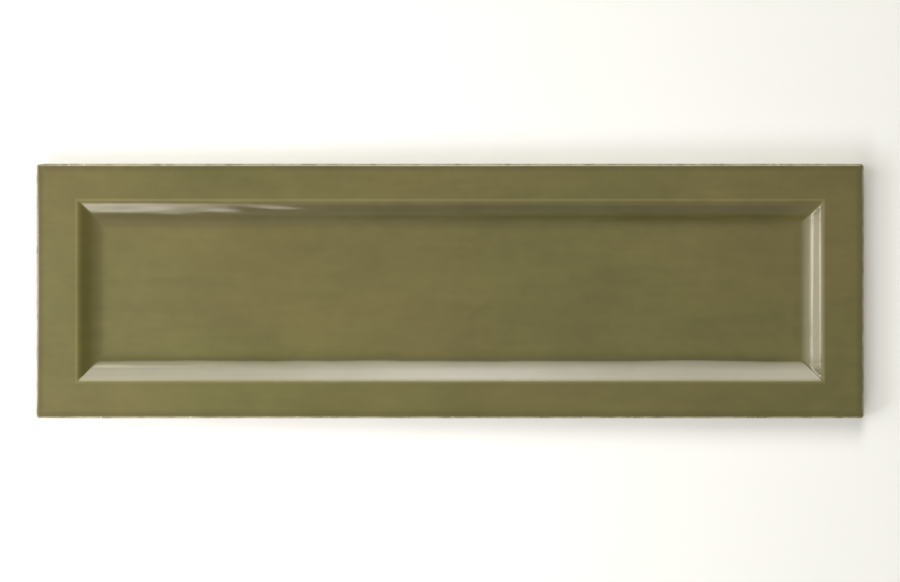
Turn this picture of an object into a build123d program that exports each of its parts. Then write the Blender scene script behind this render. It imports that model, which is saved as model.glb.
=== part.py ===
from build123d import *

import os
from math import cos, radians, sin

# Pressed and glazed wall tile: a flat raised border round a sunk panel, and a keyed back.
# It is one fired piece. Sizes are in millimetres. The tile lies face up, with +X along its
# length, +Y across it and +Z out of its face. The origin is the middle of the back, on the
# plane of the back's ribs.

# Outline
tile_length = 330.2
tile_width = 101.6
tile_thickness = 9.5
corner_radius = 1.4
edge_round = 1.1

# Sides: an upright band below the face, then a taper in towards the back
taper_height = 5.0
taper_inset = 0.7

# Sunk panel, and the moulding that leads down to it: a rounded arris, a slope and a cove
border_at_ends = 15.9
border_at_sides = 14.4
recess_depth = 3.2
slope_angle = 26.0
arris_radius = 3.0
cove_radius = 14.0

# Keyed back: shallow pockets between ribs, for the adhesive
key_columns = 12
key_rows = 4
key_margin = 8.0
key_rib = 4.0
key_depth = 0.8
key_corner = 2.5
key_draft = 30.0

# The two rounds take up part of the recess's depth, and the straight slope the rest
depth_of_rounds = (arris_radius + cove_radius) * (1 - cos(radians(slope_angle)))
slope_run = (recess_depth - depth_of_rounds) / sin(radians(slope_angle))

# What the margins and ribs leave for each pocket
pocket_length = (tile_length - 2 * key_margin - (key_columns - 1) * key_rib) / key_columns
pocket_width = (tile_width - 2 * key_margin - (key_rows - 1) * key_rib) / key_rows


def recess_section(plane, half_span):
    """Section across the recess, from one arris of the border to the opposite one."""
    lid = tile_thickness + recess_depth  # clear of the face, for a clean cut
    with BuildSketch(plane) as section:
        with BuildLine():
            Polyline((0, lid), (half_span, lid), (half_span, tile_thickness))
            arris = JernArc((half_span, tile_thickness), (-1, 0), arris_radius, slope_angle)
            slope = Line(arris @ 1, arris @ 1 + (arris % 1) * slope_run)
            cove = JernArc(slope @ 1, slope % 1, cove_radius, -slope_angle)
            Line(cove @ 1, (0, tile_thickness - recess_depth))
            mirror(about=Plane.YZ)
        make_face()
    return section.sketch


# The recess is where its lengthwise and crosswise sections overlap, so that the moulding
# meets itself in a mitre at each corner.
with BuildPart() as recess:
    lengthwise = recess_section(Plane.XZ, tile_length / 2 - border_at_ends)
    crosswise = recess_section(Plane.YZ, tile_width / 2 - border_at_sides)
    extrude(lengthwise, amount=tile_width / 2, both=True)
    extrude(crosswise, amount=tile_length / 2, both=True, mode=Mode.INTERSECT)

with BuildPart() as wall_tile:
    with BuildSketch():
        RectangleRounded(tile_length, tile_width, corner_radius)
    extrude(amount=tile_thickness)

    back = wall_tile.faces().sort_by(Axis.Z)[0]
    chamfer(back.edges(), length=taper_inset, length2=taper_height, reference=back)

    face = wall_tile.faces().sort_by(Axis.Z)[-1]
    fillet(face.edges(), radius=edge_round)

    add(recess.part, mode=Mode.SUBTRACT)

    with BuildSketch():
        with GridLocations(pocket_length + key_rib, pocket_width + key_rib, key_columns, key_rows):
            RectangleRounded(pocket_length, pocket_width, key_corner)
    extrude(amount=key_depth, taper=key_draft, mode=Mode.SUBTRACT)

wall_tile.part.label = "wall_tile"

os.makedirs("parts", exist_ok=True)
export_step(wall_tile.part, "parts/wall_tile.step")

print(f"straight slope {slope_run:.2f} mm, pocket {pocket_length:.2f} x {pocket_width:.2f} mm")
print(f"volume {wall_tile.part.volume / 1000:.1f} cm3, size {wall_tile.part.bounding_box().size}")
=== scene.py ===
"""The looks of a framed wall tile: one pressed, glazed and fired piece, lying face up on a pale floor."""

import logging
from dataclasses import dataclass, field
from enum import IntEnum
from math import cos, exp, pi, radians, sin, sqrt, tan

import bmesh
import bpy
from bmesh.types import BMesh, BMFace
from bpy.types import Light, Material, Node, NodeOutputs, NodeSocket, NodeTree, Object
from mathutils import Matrix, Quaternion, Vector, noise

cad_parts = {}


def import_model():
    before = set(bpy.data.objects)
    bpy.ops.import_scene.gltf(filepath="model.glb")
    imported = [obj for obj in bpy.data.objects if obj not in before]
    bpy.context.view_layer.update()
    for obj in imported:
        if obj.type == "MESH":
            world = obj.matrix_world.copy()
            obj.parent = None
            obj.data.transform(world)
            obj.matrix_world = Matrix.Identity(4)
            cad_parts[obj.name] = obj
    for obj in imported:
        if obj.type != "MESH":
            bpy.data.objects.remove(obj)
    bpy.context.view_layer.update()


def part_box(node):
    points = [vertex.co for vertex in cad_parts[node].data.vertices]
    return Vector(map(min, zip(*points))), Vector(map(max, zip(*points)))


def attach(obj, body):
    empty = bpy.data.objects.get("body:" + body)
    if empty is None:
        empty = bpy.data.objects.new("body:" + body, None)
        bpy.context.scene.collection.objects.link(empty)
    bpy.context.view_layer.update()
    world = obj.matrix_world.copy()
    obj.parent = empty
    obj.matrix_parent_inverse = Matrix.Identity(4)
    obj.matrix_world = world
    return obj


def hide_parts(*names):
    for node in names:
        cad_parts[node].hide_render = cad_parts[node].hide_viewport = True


LOG = logging.getLogger("wall_tile")
MM = 0.001
CAD_NODE = "wall_tile"
BODY = "root"
X_AXIS = Vector((1, 0, 0))
Y_AXIS = Vector((0, 1, 0))
NO_DISTANCE = 1e-7
NEAR = NO_DISTANCE * 10

Pair = tuple[float, float]
Triple = tuple[float, float, float]
Band = tuple[float, float, float, float]
Value = NodeSocket | float | Triple

WARM: Triple = (1.0, 0.955, 0.825)
NEUTRAL: Triple = (1.0, 0.98, 0.98)
COOL: Triple = (1.0, 1.0, 1.08)


class Surface(IntEnum):
    """The finish of a face, as its material slot on the tile."""

    GLAZED = 0
    BARE = 1


class MixSocket(IntEnum):
    """Where a Mix node has its colour sockets, which share their names with others."""

    FIRST = 6
    SECOND = 7
    RESULT = 2


@dataclass(frozen=True)
class Lumps:
    """A stretched noise: its lumps in a metre along each axis, its start, and its finer layers."""

    count: Triple
    start: Triple = (0.0, 0.0, 0.0)
    detail: float = 2.0
    rough: float = 0.5


class Graph:
    """A node tree that is being wired, with short calls for the nodes that the finishes use."""

    def __init__(self, tree: NodeTree) -> None:
        """Takes the tree to wire."""
        self.tree = tree

    def add(self, kind: str, **settings: object) -> Node:
        """Adds a node.

        Args:
            kind: the node's type.
            settings: values for the node's own properties.

        Returns:
            The new node.
        """
        node = self.tree.nodes.new(kind)
        for name, value in settings.items():
            setattr(node, name, value)
        return node

    def feed(self, target: NodeSocket, value: Value) -> None:
        """Links a socket to the target, or sets a constant on it."""
        if isinstance(value, NodeSocket):
            self.tree.links.new(value, target)
        elif target.type == "RGBA":
            target.default_value = (*value, 1.0)
        else:
            target.default_value = value

    def math(self, operation: str, *values: Value) -> NodeSocket:
        """Adds a Math node.

        Args:
            operation: the node's operation.
            values: its inputs, in order.

        Returns:
            The result's socket.
        """
        node = self.add("ShaderNodeMath", operation=operation)
        for target, value in zip(node.inputs, values):
            self.feed(target, value)
        return node.outputs["Value"]

    def step(self, value: Value, start: float, end: float) -> NodeSocket:
        """Adds a smooth step from 0 to 1.

        Args:
            value: what is measured.
            start: where the mask is still 0.
            end: where the mask has reached 1, which may be below start.

        Returns:
            The mask's socket.
        """
        falls = end < start
        node = self.add("ShaderNodeMapRange", interpolation_type="SMOOTHSTEP")
        settings = {
            "Value": value,
            "From Min": min(start, end),
            "From Max": max(start, end),
            "To Min": 1.0 if falls else 0.0,
            "To Max": 0.0 if falls else 1.0,
        }
        for name, setting in settings.items():
            self.feed(node.inputs[name], setting)
        return node.outputs["Result"]

    def band(self, value: Value, start: float, full: float, fading: float, end: float) -> NodeSocket:
        """Adds a mask that is 1 between full and fading, and 0 before start and after end."""
        return self.math("MULTIPLY", self.step(value, start, full), self.step(value, end, fading))

    def span(self, value: Value, low: float, high: float) -> NodeSocket:
        """Maps 0 to 1 onto low to high."""
        node = self.add("ShaderNodeMapRange")
        for name, setting in (("Value", value), ("To Min", low), ("To Max", high)):
            self.feed(node.inputs[name], setting)
        return node.outputs["Result"]

    def mix(self, factor: Value, first: Value, second: Value, blend: str = "MIX") -> NodeSocket:
        """Mixes two colours.

        Args:
            factor: how much of the second colour shows.
            first: the colour below.
            second: the colour laid over it.
            blend: the Mix node's blend type.

        Returns:
            The mixed colour's socket.
        """
        node = self.add("ShaderNodeMix", data_type="RGBA", blend_type=blend)
        self.feed(node.inputs["Factor"], factor)
        self.feed(node.inputs[MixSocket.FIRST], first)
        self.feed(node.inputs[MixSocket.SECOND], second)
        return node.outputs[MixSocket.RESULT]

    def shade(self, color: Value, brightness: Value) -> NodeSocket:
        """Multiplies a colour by a brightness."""
        node = self.add("ShaderNodeVectorMath", operation="SCALE")
        self.feed(node.inputs["Vector"], color)
        self.feed(node.inputs["Scale"], brightness)
        return node.outputs["Vector"]

    def stretch(self, vector: Value, scale: Triple, place: Triple) -> NodeSocket:
        """Scales a pattern's coordinates, and then shifts them."""
        node = self.add("ShaderNodeMapping")
        self.feed(node.inputs["Vector"], vector)
        node.inputs["Scale"].default_value = scale
        node.inputs["Location"].default_value = place
        return node.outputs["Vector"]

    def noise(
        self, vector: Value, scale: float = 1.0, detail: float = 2.0, rough: float = 0.5
    ) -> NodeSocket:
        """Adds a noise pattern, from 0 to 1.

        Args:
            vector: the coordinates that it follows.
            scale: how many lumps fit in a unit of them.
            detail: how many finer layers it has.
            rough: how strong the finer layers are.

        Returns:
            The pattern's socket.
        """
        node = self.add("ShaderNodeTexNoise")
        for name, value in (("Vector", vector), ("Scale", scale), ("Detail", detail), ("Roughness", rough)):
            self.feed(node.inputs[name], value)
        return node.outputs["Fac"]

    def lumps(self, vector: Value, lumps: Lumps) -> NodeSocket:
        """Adds a stretched noise, from 0 to 1."""
        stretched = self.stretch(vector, lumps.count, lumps.start)
        return self.noise(stretched, detail=lumps.detail, rough=lumps.rough)

    def average(self, first: Value, second: Value, weight: float) -> NodeSocket:
        """Averages two values, of which the first has the given weight."""
        weighed = self.math("MULTIPLY", first, weight)
        return self.math("ADD", weighed, self.math("MULTIPLY", second, 1 - weight))

    def group(self, tree: NodeTree, **values: Value) -> Node:
        """Places a node group, and feeds its inputs by name."""
        node = self.add("ShaderNodeGroup", node_tree=tree)
        for name, value in values.items():
            self.feed(node.inputs[name.replace("_", " ")], value)
        return node


class Group(Graph):
    """A shader node group that is being wired."""

    def __init__(self, name: str, inputs: tuple[str, ...], outputs: tuple[str, ...]) -> None:
        """Makes an empty group.

        Args:
            name: the group's name.
            inputs: its inputs; one called Coordinate is a vector and the others are values.
            outputs: its outputs, which are values.
        """
        super().__init__(bpy.data.node_groups.new(name, "ShaderNodeTree"))
        for socket in inputs:
            kind = "NodeSocketVector" if socket == "Coordinate" else "NodeSocketFloat"
            self.tree.interface.new_socket(socket, in_out="INPUT", socket_type=kind)
        for socket in outputs:
            self.tree.interface.new_socket(socket, in_out="OUTPUT", socket_type="NodeSocketFloat")
        self.given = self.add("NodeGroupInput").outputs
        self.result = self.add("NodeGroupOutput").inputs


@dataclass(frozen=True)
class Moulding:
    """The step from the border down to the sunk panel: a rounded arris, a slope and a cove."""

    depth: float = 3.2 * MM
    slope: float = radians(26.0)
    arris_radius: float = 3.0 * MM
    cove_radius: float = 14.0 * MM
    flow: float = 0.8 * MM
    pool_depth: float = 0.05 * MM
    pool_place: float = 7.0 * MM
    pool_reach: float = 2.5 * MM
    flow_steps: int = 3
    line_count: int = 34

    @property
    def arris_width(self) -> float:
        """Width of the arris, seen from above."""
        return self.arris_radius * sin(self.slope)

    @property
    def slope_width(self) -> float:
        """Width of the straight slope, seen from above."""
        rounds = (self.arris_radius + self.cove_radius) * (1 - cos(self.slope))
        return (self.depth - rounds) / tan(self.slope)

    @property
    def cove_width(self) -> float:
        """Width of the cove, seen from above."""
        return self.cove_radius * sin(self.slope)

    @property
    def width(self) -> float:
        """Width of the whole moulding, seen from above."""
        return self.arris_width + self.slope_width + self.cove_width

    def drop(self, inset: float) -> float:
        """Depth of the pressed face below the border.

        Args:
            inset: the distance in from the border's arris.

        Returns:
            How far the face lies below the border there.
        """
        if inset <= 0:
            return 0.0
        if inset < self.arris_width:
            return self.arris_radius - sqrt(self.arris_radius**2 - inset**2)
        if inset < self.arris_width + self.slope_width:
            return self.arris_radius * (1 - cos(self.slope)) + (inset - self.arris_width) * tan(self.slope)
        left = max(self.width - inset, 0.0)
        return self.depth - self.cove_radius + sqrt(self.cove_radius**2 - left**2)

    def glazed_drop(self, inset: float) -> float:
        """Depth of the glazed face below the border.

        Args:
            inset: the distance in from the border's arris.

        Returns:
            The pressed depth, averaged over the reach in which the molten glaze evens out, less the glaze
            that ran down and settled in the cove.
        """
        steps = self.flow_steps
        shifts = [self.flow * k / steps for k in range(-steps, steps + 1)]
        evened = sum(self.drop(inset + shift) for shift in shifts) / len(shifts)
        return evened - self.pool_depth * exp(-(((inset - self.pool_place) / self.pool_reach) ** 2))

    def lines(self) -> list[float]:
        """Distances in from the arris at which the mesh has a line of edges."""
        span = self.width + 2 * self.flow
        return [span * k / self.line_count - self.flow for k in range(self.line_count + 1)]


def cut(bm: BMesh, faces: list[BMFace], place: Vector, normal: Vector) -> list[BMFace]:
    """Cuts some faces along a plane, and removes nothing.

    Args:
        bm: the mesh.
        faces: the faces to cut.
        place: a point on the plane.
        normal: the plane's normal.

    Returns:
        The faces after the cut, on both sides of the plane.
    """
    edges = {edge for face in faces for edge in face.edges}
    verts = {vert for face in faces for vert in face.verts}
    given = [*verts, *edges, *faces]
    halves = bmesh.ops.bisect_plane(bm, geom=given, dist=NO_DISTANCE, plane_co=place, plane_no=normal)
    return [item for item in halves["geom"] if isinstance(item, BMFace)]


@dataclass(frozen=True)
class KeyedBack:
    """The pockets pressed into the back, which the adhesive keys into."""

    columns: int = 12
    rows: int = 4
    margin: float = 8.0 * MM
    rib: float = 4.0 * MM
    depth: float = 0.8 * MM
    corner: float = 2.5 * MM
    draft: float = radians(30.0)
    corner_steps: int = 3

    def press(self, bm: BMesh, length: float, width: float) -> None:
        """Cuts the back into cells and presses a pocket into each.

        Args:
            bm: the tile's mesh, whose bare face is the back.
            length: the tile's length.
            width: the tile's width.
        """
        for axis, span, count in ((X_AXIS, length, self.columns), (Y_AXIS, width, self.rows)):
            reach = span - 2 * self.margin + self.rib
            bare = [face for face in bm.faces if face.material_index == Surface.BARE]
            for k in range(count + 1):
                bare = cut(bm, bare, axis * (reach * (k / count - 0.5)), axis)
        cells = [face for face in bm.faces if self.holds_pocket(face, length, width)]
        bmesh.ops.inset_individual(bm, faces=cells, thickness=self.rib / 2, use_even_offset=True)
        run = self.depth * tan(self.draft)
        pressed = bmesh.ops.inset_individual(
            bm, faces=cells, thickness=run, depth=-self.depth, use_even_offset=True
        )
        walls = set(pressed["faces"])
        inner = [edge for edge in bm.edges if len(edge.link_faces) == 2]
        corners = [edge for edge in inner if walls.issuperset(edge.link_faces)]
        bmesh.ops.bevel(
            bm, geom=corners, offset=self.corner, offset_type="OFFSET", segments=self.corner_steps,
            profile=0.5, affect="EDGES", material=-1,
        )

    def holds_pocket(self, face: BMFace, length: float, width: float) -> bool:
        """Whether a face of the cut back is a cell, and not part of the margin."""
        middle = face.calc_center_median()
        in_length = abs(middle.x) < length / 2 - self.margin
        in_width = abs(middle.y) < width / 2 - self.margin
        return face.material_index == Surface.BARE and in_length and in_width


@dataclass(frozen=True)
class GlazeWaves:
    """The soft unevenness of the glaze's surface, which bends the lights that it mirrors."""

    long_size: float = 46.0 * MM
    long_height: float = 0.030 * MM
    short_size: float = 15.0 * MM
    short_height: float = 0.010 * MM
    ripple_length: float = 15.0 * MM
    ripple_width: float = 2.0 * MM
    ripple_height: float = 0.070 * MM
    ripple_at_foot: float = 0.35
    moulding_share: float = 5.0
    mitre_reach: float = 6.0 * MM
    start: Triple = (3.7, 11.2, 5.9)

    def swell(self, place: Vector) -> float:
        """Height of the waves that run over the whole face, at one point of it."""
        flat = Vector((place.x, place.y, 0.0))
        start = Vector(self.start)
        long_wave = self.long_height * noise.noise(flat / self.long_size + start)
        return long_wave + self.short_height * noise.noise(flat / self.short_size - start)

    def ripple(self, place: Vector) -> float:
        """Height of the ridges that the brush left along the tile's length, at one point of its face."""
        at = Vector((place.x / self.ripple_length, place.y / self.ripple_width, 0.0))
        share = 1.0 if place.y > 0 else self.ripple_at_foot
        return share * self.ripple_height * noise.noise(at + Vector(self.start))


@dataclass
class WallTile:
    """The fired tile: a raised border round a sunk panel, tapered sides and a keyed back."""

    length: float
    width: float
    thickness: float
    corner_radius: float = 1.4 * MM
    edge_round: float = 1.1 * MM
    taper_height: float = 5.0 * MM
    taper_inset: float = 0.7 * MM
    border_at_ends: float = 15.9 * MM
    border_at_sides: float = 14.4 * MM
    moulding: Moulding = field(default_factory=Moulding)
    back: KeyedBack = field(default_factory=KeyedBack)
    waves: GlazeWaves = field(default_factory=GlazeWaves)
    mitre_pool: float = 0.6 * MM
    round_steps: int = 7
    pitch: float = 2.4 * MM
    support: float = 0.4 * MM
    sharp_turn: float = radians(50.0)
    map_gap: float = 4.0 * MM

    @property
    def half_recess(self) -> Pair:
        """Half the recess's length and width, at the border's arris."""
        return self.length / 2 - self.border_at_ends, self.width / 2 - self.border_at_sides

    def build(self, materials: dict[Surface, Material]) -> Object:
        """Makes the tile's object.

        Args:
            materials: the material of each surface.

        Returns:
            The finished object.
        """
        bm = bmesh.new()
        self.press_block(bm)
        self.back.press(bm, self.length, self.width)
        self.slice_face(bm)
        self.mitre_corners(bm)
        self.sink_panel(bm)
        self.map_for_bake(bm)
        mesh = bpy.data.meshes.new("glazed_tile")
        bm.to_mesh(mesh)
        bm.free()
        for surface in Surface:
            mesh.materials.append(materials[surface])
        mesh.polygons.foreach_set("use_smooth", [True] * len(mesh.polygons))
        mesh.set_sharp_from_angle(angle=self.sharp_turn)
        tile = bpy.data.objects.new("glazed_tile", mesh)
        bpy.context.scene.collection.objects.link(tile)
        return tile

    def press_block(self, bm: BMesh) -> None:
        """Makes the plain block: rounded corners, tapered sides and a rounded face edge."""
        size = (self.length, self.width, self.thickness, 1.0)
        place = Matrix.Translation((0, 0, self.thickness / 2)) @ Matrix.Diagonal(size)
        bmesh.ops.create_cube(bm, size=1.0, matrix=place)
        upright = [
            edge
            for edge in bm.edges
            if abs(edge.verts[0].co.z - edge.verts[1].co.z) > self.thickness / 2
        ]
        self.round_off(bm, upright, self.corner_radius)
        back = min(bm.faces, key=lambda face: face.calc_center_median().z)
        taper = bmesh.ops.inset_region(bm, faces=[back], thickness=self.taper_inset, use_even_offset=True)
        outline = {vert for face in taper["faces"] for vert in face.verts}.difference(back.verts)
        bmesh.ops.translate(bm, verts=list(outline), vec=(0, 0, self.taper_height))
        for face in bm.faces:
            face.material_index = Surface.BARE if face is back else Surface.GLAZED
        self.round_off(bm, self.face_of(bm).edges[:], self.edge_round)
        bmesh.ops.inset_region(bm, faces=[self.face_of(bm)], thickness=self.support, use_even_offset=True)

    def face_of(self, bm: BMesh) -> BMFace:
        """The block's flat face, before it is sliced."""
        return max(bm.faces, key=lambda face: face.calc_center_median().z)

    def round_off(self, bm: BMesh, edges: list, radius: float) -> None:
        """Rounds some edges of the block."""
        bmesh.ops.bevel(
            bm, geom=edges, offset=radius, offset_type="OFFSET", segments=self.round_steps,
            profile=0.5, affect="EDGES", material=-1,
        )

    def stations(self, half_span: float, half_recess: float) -> list[float]:
        """Places along one axis where the face is sliced.

        Args:
            half_span: half the tile's size along that axis.
            half_recess: half the recess's size along that axis.

        Returns:
            The places, from one edge to the other.
        """
        lines = self.moulding.lines()
        panel = half_recess - lines[-1] - self.support
        border = half_recess - lines[0] + self.support
        outer = half_span - max(self.corner_radius, self.edge_round + self.support) - self.support
        panel_cuts = round(panel / self.pitch)
        border_cuts = round((outer - border) / self.pitch)
        half = [panel * k / panel_cuts for k in range(1, panel_cuts + 1)]
        half += [half_recess - inset for inset in reversed(lines)]
        half += [border + (outer - border) * k / border_cuts for k in range(border_cuts + 1)]
        return [-place for place in reversed(half)] + [0.0] + half

    def slice_face(self, bm: BMesh) -> None:
        """Slices the face and the sides along the moulding's lines, and evenly between them."""
        spans = (self.length / 2, self.width / 2)
        for axis, span, recess in zip((X_AXIS, Y_AXIS), spans, self.half_recess):
            ahead = [face for face in bm.faces if face.material_index == Surface.GLAZED]
            for place in self.stations(span, recess):
                halves = cut(bm, ahead, axis * place, axis)
                ahead = [face for face in halves if face.calc_center_bounds().dot(axis) > place]

    def insets(self, place: Vector) -> Pair:
        """Distances of a point in from the border's arris, at its nearer end and its nearer side."""
        half_x, half_y = self.half_recess
        return half_x - abs(place.x), half_y - abs(place.y)

    def pooled_inset(self, place: Vector) -> float:
        """Distance of a point in from the border's arris, eased where glaze pools in the mitres.

        Args:
            place: a point of the face.

        Returns:
            The distance, a little less than the nearer of the two beside a mitre.
        """
        from_end, from_side = self.insets(place)
        nearest = min(from_end, from_side)
        pool = self.mitre_pool * min(max(nearest / self.moulding.arris_width, 0.0), 1.0)
        beside = max(pool - abs(from_end - from_side), 0.0)
        return nearest - beside**2 / (4 * pool) if beside else nearest

    def on_mitre(self, face: BMFace) -> bool:
        """Whether one of the moulding's mitres crosses a face of the flat block."""
        middle = face.calc_center_median()
        from_end, from_side = self.insets(middle)
        in_moulding = -self.moulding.flow < from_end < self.moulding.width + self.moulding.flow
        return in_moulding and abs(from_end - from_side) < NEAR and middle.z > self.taper_height

    def mitre_corners(self, bm: BMesh) -> None:
        """Gives each mitre of the moulding a line of edges, so that its two slopes meet in it."""
        half_x, half_y = self.half_recess
        for side_x in (-1, 1):
            for side_y in (-1, 1):
                corner = Vector((side_x * half_x, side_y * half_y, 0))
                crossed = [face for face in bm.faces if self.on_mitre(face)]
                near = [face for face in crossed if face.calc_center_median().dot(corner) > 0]
                cut(bm, near, corner, Vector((side_x, -side_y, 0)))

    def sink_panel(self, bm: BMesh) -> None:
        """Lowers the face inside the border, and lays the glaze's waves on it."""
        flat = [vert for vert in bm.verts if vert.co.z > self.thickness - NEAR]
        for vert in flat:
            inset = self.pooled_inset(vert.co)
            vert.co.z += self.wave(vert.co, inset) - self.moulding.glazed_drop(inset)

    def wave(self, place: Vector, inset: float) -> float:
        """Height of the glaze over its even level.

        Args:
            place: a point of the face.
            inset: its distance in from the border's arris.

        Returns:
            The height, below zero in a hollow. It is largest on the moulding, where the glaze ran most.
        """
        from_end, from_side = self.insets(place)
        hump = sin(pi * min(max(inset / self.moulding.width, 0.0), 1.0)) ** 2
        at_side = min(max((from_end - from_side) / self.waves.mitre_reach, 0.0), 1.0)
        swell = self.waves.swell(place) * (1 + (self.waves.moulding_share - 1) * hump)
        return swell + self.waves.ripple(place) * hump * at_side

    def map_for_bake(self, bm: BMesh) -> None:
        """Lays the face, the back and the four sides out one above the other on one map."""
        layer = bm.loops.layers.uv.new("OFBake")
        gap = self.map_gap
        scale = 1 / (self.length + 2 * gap)
        rows = {"face": gap, "back": self.width + 3 * gap}
        for k, side in enumerate(("front", "rear", "left", "right")):
            rows[side] = 2 * self.width + 5 * gap + k * (self.thickness + 2 * gap)
        bm.normal_update()
        for face in bm.faces:
            row = self.map_row(face.normal)
            for loop in face.loops:
                x, y, z = loop.vert.co
                u = y + self.width / 2 if row in ("left", "right") else x + self.length / 2
                v = y + self.width / 2 if row in ("face", "back") else z
                loop[layer].uv = ((gap + u) * scale, (rows[row] + v) * scale)

    @staticmethod
    def map_row(normal: Vector) -> str:
        """Which row of the bake's map a face with this normal goes to."""
        upward = 0.35
        if abs(normal.z) > upward:
            return "face" if normal.z > 0 else "back"
        if abs(normal.y) > abs(normal.x):
            return "rear" if normal.y > 0 else "front"
        return "right" if normal.x > 0 else "left"


def tile_plan(tile: WallTile) -> NodeTree:
    """Makes the group that tells where a point lies on the tile.

    Args:
        tile: the tile, for its sizes.

    Returns:
        The group. Its outputs are in millimetres: Edge is the distance in from the outline, Inset the
        distance in from the border's arris, Height the height over the back, and Along the distance
        from the middle towards the right end.
    """
    group = Group("tile plan", ("Coordinate",), ("Edge", "Inset", "Height", "Along"))
    place = group.add("ShaderNodeSeparateXYZ")
    group.feed(place.inputs["Vector"], group.given["Coordinate"])
    along = group.math("ABSOLUTE", place.outputs["X"])
    across = group.math("ABSOLUTE", place.outputs["Y"])
    for name, half in (("Edge", (tile.length / 2, tile.width / 2)), ("Inset", tile.half_recess)):
        from_end = group.math("SUBTRACT", half[0], along)
        from_side = group.math("SUBTRACT", half[1], across)
        nearest = group.math("MINIMUM", from_end, from_side)
        group.feed(group.result[name], group.math("DIVIDE", nearest, MM))
    group.feed(group.result["Height"], group.math("DIVIDE", place.outputs["Z"], MM))
    group.feed(group.result["Along"], group.math("DIVIDE", place.outputs["X"], MM))
    return group.tree


def brushed_coat() -> NodeTree:
    """Makes the group for a coat laid on by brush along the tile's length.

    Returns:
        The group. Stroke is the brush's fine lines, Cloud the soft patches of a thicker or thinner coat,
        and Tint the slow drift of its hue. Each is about 0.5 on average.
    """
    broad_lines = Lumps((22.0, 260.0, 40.0))
    fine_lines = Lumps((50.0, 800.0, 90.0), (4.0, 7.0, 0.0), detail=3.0, rough=0.6)
    mottling = Lumps((150.0, 200.0, 150.0), (2.0, 5.0, 9.0), detail=3.0, rough=0.6)
    clouds = Lumps((26.0, 40.0, 30.0), detail=3.0, rough=0.55)
    tints = Lumps((9.0, 19.0, 10.0), (8.0, 2.0, 5.0))
    group = Group("brushed coat", ("Coordinate",), ("Stroke", "Cloud", "Tint"))
    at = group.given["Coordinate"]
    lines = group.average(group.lumps(at, broad_lines), group.lumps(at, fine_lines), weight=0.6)
    group.feed(group.result["Stroke"], group.average(lines, group.lumps(at, mottling), weight=0.5))
    group.feed(group.result["Cloud"], group.lumps(at, clouds))
    group.feed(group.result["Tint"], group.lumps(at, tints))
    return group.tree


def fired_grain() -> NodeTree:
    """Makes the group for a fired body's grain.

    Returns:
        The group. Grain is the fine grit, and Stain the broad unevenness of the firing.
    """
    group = Group("fired grain", ("Coordinate",), ("Grain", "Stain"))
    at = group.given["Coordinate"]
    group.feed(group.result["Grain"], group.noise(at, scale=1900.0, detail=3.0, rough=0.7))
    group.feed(group.result["Stain"], group.noise(at, scale=45.0, detail=4.0, rough=0.6))
    return group.tree


class Finish:
    """What the finishes share: a material with one Principled shader."""

    @staticmethod
    def start(name: str) -> tuple[Material, Graph, Node]:
        """Makes an empty material.

        Args:
            name: the material's name.

        Returns:
            The material, its graph and its shader.
        """
        material = bpy.data.materials.new(name)
        material.use_nodes = True
        material.node_tree.nodes.clear()
        graph = Graph(material.node_tree)
        shader = graph.add("ShaderNodeBsdfPrincipled")
        output = graph.add("ShaderNodeOutputMaterial")
        graph.feed(output.inputs["Surface"], shader.outputs["BSDF"])
        return material, graph, shader


@dataclass(frozen=True)
class Biscuit(Finish):
    """The bare fired body: pale, matt and gritty."""

    body: Triple = (0.66, 0.60, 0.50)
    scorched: Triple = (0.55, 0.47, 0.36)
    scorching: Pair = (0.4, 0.75)
    grit: float = 0.16
    roughness: float = 0.88
    relief: float = 0.06 * MM

    def color(self, graph: Graph, grain: Node) -> NodeSocket:
        """The body's colour, from its grain."""
        toned = graph.mix(graph.step(grain.outputs["Stain"], *self.scorching), self.body, self.scorched)
        return graph.shade(toned, graph.span(grain.outputs["Grain"], 1 - self.grit, 1 + self.grit))

    def build(self, grain_group: NodeTree) -> Material:
        """Makes the material.

        Args:
            grain_group: the group for a fired body's grain.

        Returns:
            The material.
        """
        material, graph, shader = self.start("bare biscuit")
        at = graph.add("ShaderNodeTexCoord").outputs["Object"]
        grain = graph.group(grain_group, Coordinate=at)
        graph.feed(shader.inputs["Base Color"], self.color(graph, grain))
        graph.feed(shader.inputs["Roughness"], self.roughness)
        bump = graph.add("ShaderNodeBump")
        graph.feed(bump.inputs["Height"], grain.outputs["Grain"])
        graph.feed(bump.inputs["Distance"], self.relief)
        graph.feed(shader.inputs["Normal"], bump.outputs["Normal"])
        return material


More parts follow.
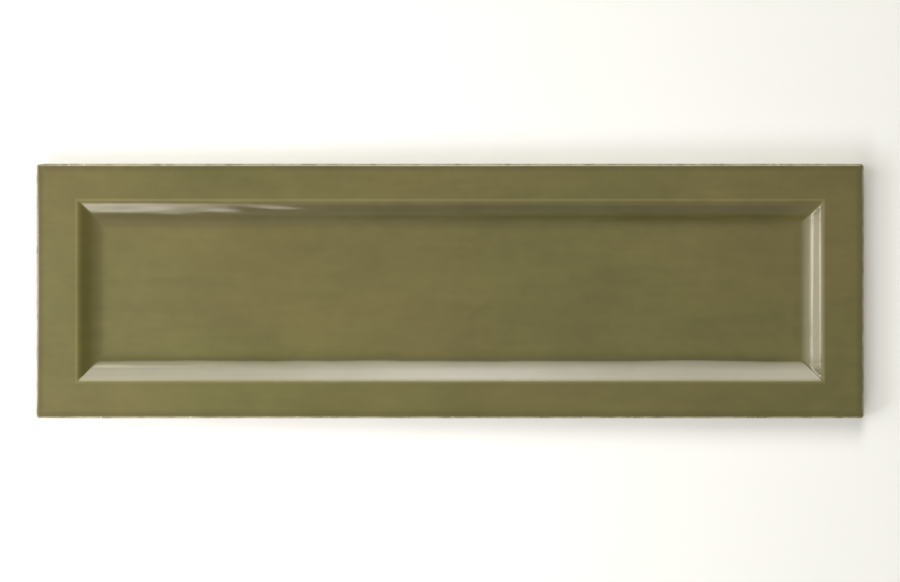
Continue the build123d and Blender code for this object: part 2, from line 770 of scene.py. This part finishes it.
@dataclass(frozen=True)
class OliveGlaze(Finish):
    """The glossy olive glaze, thin and pale on the arrises, thick with pooled glaze and darkened by painted
    shade in the coves.

    The bands and reaches are in millimetres: distances in from the border's arris for the coves and the
    arris, distances in from the outline for the bead of painted shade and the rim, heights for the rim and
    the hem, and the distance from the middle for the right end, where the coves hold less pooled glaze and
    less painted shade.
    """

    brown: Triple = (0.129, 0.1105, 0.0365)
    green: Triple = (0.119, 0.1095, 0.0342)
    thin: Triple = (0.24, 0.215, 0.095)
    # Pale thin glaze on the outer edge, partly a painted highlight standing in for reflections there.
    rim: Triple = (0.36, 0.35, 0.235)
    speck: Triple = (0.74, 0.72, 0.66)
    stroke_depth: float = 0.24
    cloud_depth: float = 0.20
    # Pooled glaze and painted shade in the coves: how much they darken the coves, with less at the right
    # end.
    cove_pool_and_shade_depth: float = 0.30
    cove_pool_and_shade_at_right: float = 0.11
    # Painted shade: how much a band just inside the outline is darkened.
    edge_shade_depth: float = 0.18
    hem_depth: float = 0.30
    arris_share: float = 0.35
    cove_pool_and_shade_band: Band = (0.8, 3.0, 7.5, 13.5)
    shade_eased_at_right: Pair = (126.0, 142.0)
    edge_shade_band: Band = (0.7, 1.1, 1.8, 3.8)
    arris_band: Band = (-0.7, 0.0, 0.2, 1.0)
    rim_reach: Pair = (1.0, 0.45)
    rim_heights: Pair = (7.2, 8.5)
    hem_band: Band = (-0.1, 0.2, 0.4, 1.6)
    line_blur: Pair = (-0.1, 0.1)
    side_reach: Pair = (0.9, 1.2)
    hue_turn: Pair = (0.35, 0.65)
    wear_scale: float = 160.0
    wear: Pair = (0.2, 0.65)
    chip_scale: float = 900.0
    chips: Pair = (0.68, 0.72)
    roughness: Pair = (0.05, 0.09)
    rim_roughness: float = 0.30
    bare_roughness: float = 0.86
    glaze_line: float = 5.6
    glaze_run: float = 2.4
    runs: Lumps = Lumps((42.0, 42.0, 6.0), rough=0.45)
    relief: float = 0.02 * MM

    def build(self, biscuit: Biscuit, plan: NodeTree, coat: NodeTree, grain_group: NodeTree) -> Material:
        """Makes the material.

        Args:
            biscuit: the body that shows where the glaze ends.
            plan: the group that tells where a point lies on the tile.
            coat: the group for a brushed coat.
            grain_group: the group for a fired body's grain.

        Returns:
            The material.
        """
        material, graph, shader = self.start("olive glaze")
        at = graph.add("ShaderNodeTexCoord").outputs["Object"]
        place = graph.group(plan, Coordinate=at).outputs
        brush = graph.group(coat, Coordinate=at).outputs
        grain = graph.group(grain_group, Coordinate=at)
        over_line = self.over_line(graph, at, place)
        on_side = graph.step(over_line, *self.line_blur)
        covered = graph.math("MAXIMUM", on_side, graph.step(place["Edge"], *self.side_reach))
        hem = graph.band(over_line, *self.hem_band)
        near_edge = graph.step(place["Edge"], *self.rim_reach)
        rim = graph.math("MULTIPLY", near_edge, graph.step(place["Height"], *self.rim_heights))
        glaze = self.color(graph, at, place, brush, rim, hem)
        graph.feed(shader.inputs["Base Color"], graph.mix(covered, biscuit.color(graph, grain), glaze))
        gloss = graph.span(brush["Cloud"], *self.roughness)
        bare = graph.math("SUBTRACT", 1.0, covered)
        dull = graph.math("MULTIPLY", bare, self.bare_roughness)
        thin = graph.math("MULTIPLY", rim, self.rim_roughness)
        dullest = graph.math("MAXIMUM", dull, thin)
        graph.feed(shader.inputs["Roughness"], graph.math("MAXIMUM", gloss, dullest))
        bump = graph.add("ShaderNodeBump")
        graph.feed(bump.inputs["Height"], brush["Stroke"])
        graph.feed(bump.inputs["Distance"], self.relief)
        graph.feed(shader.inputs["Normal"], bump.outputs["Normal"])
        return material

    def over_line(self, graph: Graph, at: NodeSocket, place: NodeOutputs) -> NodeSocket:
        """Height in millimetres over the uneven line where the glaze ends on the sides."""
        runs = graph.lumps(at, self.runs)
        level = graph.span(runs, self.glaze_line - self.glaze_run, self.glaze_line + self.glaze_run)
        return graph.math("SUBTRACT", place["Height"], level)

    def color(
        self,
        graph: Graph,
        at: NodeSocket,
        place: NodeOutputs,
        brush: NodeOutputs,
        rim: NodeSocket,
        hem: NodeSocket,
    ) -> NodeSocket:
        """Wires the glaze's colour: its brushwork first, then how it lies on the mouldings and the edges,
        with painted shade in the coves and along the outline, and a painted highlight in part of the pale
        rim.

        Args:
            graph: the material's graph.
            at: the object's coordinates.
            place: where a point lies on the tile.
            brush: the brushed coat's patterns.
            rim: mask of the tile's outer edge, where the glaze is thin and a painted highlight partly lies.
            hem: mask of the thick glaze just over the line where it ends.

        Returns:
            The colour's socket.
        """
        hue = graph.mix(graph.step(brush["Tint"], *self.hue_turn), self.brown, self.green)
        strokes = graph.span(brush["Stroke"], 1 - self.stroke_depth, 1 + self.stroke_depth)
        clouds = graph.span(brush["Cloud"], 1 + self.cloud_depth, 1 - self.cloud_depth)
        laid = graph.shade(hue, graph.math("MULTIPLY", strokes, clouds))
        # Darkens the coves with pooled glaze and painted shade, easing towards the right end.
        cove = graph.band(place["Inset"], *self.cove_pool_and_shade_band)
        # Painted shade: a darker band just inside the outline, along all four edges.
        bead = graph.band(place["Edge"], *self.edge_shade_band)
        drift = graph.step(place["Along"], *self.shade_eased_at_right)
        depth = graph.span(drift, self.cove_pool_and_shade_depth, self.cove_pool_and_shade_at_right)
        cove_pool_and_shade = graph.math("SUBTRACT", 1.0, graph.math("MULTIPLY", cove, depth))
        edge_band_shade = graph.span(bead, 1.0, 1 - self.edge_shade_depth)
        pooled = graph.shade(laid, graph.math("MULTIPLY", cove_pool_and_shade, edge_band_shade))
        arris = graph.math("MULTIPLY", graph.band(place["Inset"], *self.arris_band), self.arris_share)
        broken = graph.mix(arris, pooled, self.thin)
        worn = graph.noise(at, scale=self.wear_scale, detail=3.0, rough=0.6)
        uneven = graph.step(worn, *self.wear)
        # The pale outer rim: thin glaze, partly a painted highlight.
        edged = graph.mix(graph.math("MULTIPLY", rim, uneven), broken, self.rim)
        chips = graph.step(graph.noise(at, scale=self.chip_scale, detail=2.0, rough=0.6), *self.chips)
        chipped = graph.mix(graph.math("MULTIPLY", rim, chips), edged, self.speck)
        at_sides = graph.step(place["Edge"], *reversed(self.side_reach))
        gathered = graph.math("MULTIPLY", hem, at_sides)
        return graph.shade(chipped, graph.span(gathered, 1.0, 1 - self.hem_depth))


@dataclass(frozen=True)
class FloorPaint(Finish):
    """The floor's plain pale paint."""

    pale: Triple = (0.86, 0.875, 0.88)
    unevenness: float = 0.03
    roughness: float = 0.9

    def build(self) -> Material:
        """Makes the material."""
        material, graph, shader = self.start("pale floor")
        at = graph.add("ShaderNodeTexCoord").outputs["Object"]
        soft = graph.noise(at, scale=3.0, detail=2.0)
        patches = graph.span(soft, 1 - self.unevenness, 1 + self.unevenness)
        graph.feed(shader.inputs["Base Color"], graph.shade(self.pale, patches))
        graph.feed(shader.inputs["Roughness"], self.roughness)
        return material


@dataclass(frozen=True)
class Grading:
    """How a lamp's brightness changes over its face.

    It rises from nothing at the lamp's top to the full level at its foot, by the power called rise. A share
    of it is lost towards the two sides, and another towards the top and foot, by the power called turn. A
    share below zero is gained.
    """

    rise: float = 0.0
    sides: float = 0.0
    ends: float = 0.0
    turn: float = 2.0

    def apply(self, lamp: Light) -> None:
        """Grades a lamp."""
        lamp.use_nodes = True
        graph = Graph(lamp.node_tree)
        place = graph.add("ShaderNodeSeparateXYZ")
        graph.feed(place.inputs["Vector"], graph.add("ShaderNodeTexCoord").outputs["UV"])
        share = graph.math("POWER", graph.math("SUBTRACT", 1.0, place.outputs["Y"]), self.rise)
        for axis, lost in (("X", self.sides), ("Y", self.ends)):
            off_middle = graph.math("ABSOLUTE", graph.span(place.outputs[axis], -1.0, 1.0))
            kept = graph.span(graph.math("POWER", off_middle, self.turn), 1.0, 1.0 - lost)
            share = graph.math("MULTIPLY", share, kept)
        graph.feed(lamp.node_tree.nodes["Emission"].inputs["Strength"], share)


@dataclass(frozen=True)
class Softbox:
    """A soft lamp, placed by its direction from the point of the tile that it faces.

    The bearing goes round from +X towards +Y, in degrees. The top and foot are the angles of its edges
    down from straight above, and the level is its full brightness, where 1 is a white card in full light.
    """

    name: str
    bearing: float
    top: float
    foot: float
    distance: float
    width: float
    level: float
    aim: Pair = (0.0, 0.0)
    roll: float = 0.0
    grading: Grading | None = None
    tint: Triple = NEUTRAL

    def build(self, face_height: float) -> Object:
        """Makes the lamp.

        Args:
            face_height: the height of the tile's face.

        Returns:
            The lamp's object.
        """
        turn = radians(self.bearing)
        tilt = radians(self.top + self.foot) / 2
        toward = Vector((cos(turn) * sin(tilt), sin(turn) * sin(tilt), cos(tilt)))
        lamp = bpy.data.lights.new(self.name, "AREA")
        lamp.shape = "RECTANGLE"
        lamp.size = self.width
        lamp.size_y = 2 * self.distance * tan(radians(self.foot - self.top) / 2)
        lamp.energy = self.level * pi * lamp.size * lamp.size_y
        lamp.color = self.tint
        if self.grading:
            self.grading.apply(lamp)
        holder = bpy.data.objects.new(self.name, lamp)
        holder.rotation_mode = "QUATERNION"
        rolled = Quaternion((0, 0, 1), radians(self.roll))
        holder.rotation_quaternion = toward.to_track_quat("Z", "Y") @ rolled
        holder.location = Vector((*self.aim, face_height)) + toward * self.distance
        holder.visible_camera = False
        bpy.context.scene.collection.objects.link(holder)
        return holder


@dataclass
class Studio:
    """The pale floor, the soft lamps, and the camera that looks straight down on the tile."""

    tile: WallTile
    floor_size: float = 16.0
    lens: float = 180.0
    sensor: float = 36.0
    fill: float = 0.92
    ambient: float = 0.06
    softboxes: tuple[Softbox, ...] = (
        Softbox(
            "rear", bearing=90, top=17, foot=58, distance=2.8, width=0.88, level=9.6,
            aim=(0.0, -0.034), grading=Grading(rise=0.42, sides=0.05), tint=WARM,
        ),
        Softbox(
            "rear_hot", bearing=90, top=8, foot=58, distance=2.7, width=0.34, level=3.1,
            aim=(-0.01, -0.034), grading=Grading(rise=1.0, sides=1.0), tint=COOL,
        ),
        Softbox(
            "rear_left", bearing=148, top=32, foot=38, distance=1.6, width=1.3, level=5.0,
            aim=(0.144, -0.034), roll=-12, grading=Grading(sides=1.0, turn=8.0), tint=WARM,
        ),
        Softbox(
            "overhead", bearing=180, top=-30, foot=66, distance=1.6, width=1.70, level=0.55,
            grading=Grading(sides=1.0, ends=1.0),
        ),
        Softbox(
            "left_glow", bearing=180, top=5, foot=30, distance=2.6, width=0.40, level=2.3,
            aim=(0.144, -0.03), grading=Grading(rise=1.0, sides=1.0, ends=1.0), tint=WARM,
        ),
        Softbox(
            "left_edge", bearing=180, top=10, foot=45, distance=2.6, width=0.152, level=12.0,
            aim=(0.144, 0.0), grading=Grading(rise=2.4), tint=WARM,
        ),
        Softbox(
            "left", bearing=180, top=45, foot=66, distance=1.0, width=0.098, level=6.0,
            aim=(0.144, 0.0), grading=Grading(sides=-1.4, turn=20.0), tint=WARM,
        ),
        Softbox(
            "key_front", bearing=226, top=21, foot=53, distance=0.437, width=0.25, level=7.8,
            aim=(-0.2, -0.025),
        ),
        Softbox(
            "key_rear", bearing=134, top=21, foot=53, distance=0.437, width=0.25, level=2.4,
            aim=(-0.2, 0.025),
        ),
        Softbox(
            "front_card", bearing=270, top=40, foot=60, distance=1.4, width=0.40, level=14,
            aim=(-0.325, 0.034), roll=12, grading=Grading(rise=1.0, sides=1.0, turn=4.0), tint=WARM,
        ),
        Softbox(
            "front_left", bearing=270, top=8, foot=46, distance=1.5, width=1.20, level=0.6,
            aim=(-0.5, 0.034), grading=Grading(sides=1.0),
        ),
        Softbox(
            "front", bearing=270, top=30, foot=70, distance=1.5, width=1.20, level=0.6,
            aim=(0.0, 0.034), grading=Grading(ends=1.0),
        ),
    )

    def build(self) -> None:
        """Makes the floor, the lamps, the world and the camera."""
        self.lay_floor()
        for softbox in self.softboxes:
            softbox.build(self.tile.thickness)
        self.light_world()
        self.place_camera()
        bpy.context.scene.view_settings.view_transform = "Standard"

    def lay_floor(self) -> None:
        """Makes the floor that the tile lies on."""
        bm = bmesh.new()
        bmesh.ops.create_grid(bm, x_segments=1, y_segments=1, size=self.floor_size / 2)
        mesh = bpy.data.meshes.new("floor")
        bm.to_mesh(mesh)
        bm.free()
        mesh.materials.append(FloorPaint().build())
        floor = bpy.data.objects.new("floor", mesh)
        bpy.context.scene.collection.objects.link(floor)

    def light_world(self) -> None:
        """Makes the world: a weak even light, which the camera sees as white."""
        world = bpy.data.worlds.new("studio")
        bpy.context.scene.world = world
        world.use_nodes = True
        world.node_tree.nodes.clear()
        graph = Graph(world.node_tree)
        sky = graph.add("ShaderNodeBackground")
        rays = graph.add("ShaderNodeLightPath")
        graph.feed(sky.inputs["Strength"], graph.span(rays.outputs["Is Camera Ray"], self.ambient, 1.0))
        output = graph.add("ShaderNodeOutputWorld")
        graph.feed(output.inputs["Surface"], sky.outputs["Background"])

    def place_camera(self) -> None:
        """Puts the camera straight above the tile, far enough for the tile to fill most of the picture."""
        data = bpy.data.cameras.new("camera")
        data.lens = self.lens
        data.sensor_width = self.sensor
        seen = self.tile.length / self.fill
        camera = bpy.data.objects.new("camera", data)
        camera.location = (0, 0, self.tile.thickness + seen * self.lens / self.sensor)
        bpy.context.scene.collection.objects.link(camera)
        bpy.context.scene.camera = camera


def main() -> None:
    """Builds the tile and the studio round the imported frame."""
    logging.basicConfig(level=logging.INFO, format="%(name)s: %(message)s")
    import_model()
    low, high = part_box(CAD_NODE)
    wall_tile = WallTile(*(high - low))
    plan, coat, grain = tile_plan(wall_tile), brushed_coat(), fired_grain()
    biscuit = Biscuit()
    materials = {
        Surface.GLAZED: OliveGlaze().build(biscuit, plan, coat, grain),
        Surface.BARE: biscuit.build(grain),
    }
    piece = wall_tile.build(materials)
    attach(piece, BODY)
    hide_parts(CAD_NODE)
    LOG.info("%s has %d faces", piece.name, len(piece.data.polygons))
    Studio(wall_tile).build()


if __name__ == "__main__":
    main()
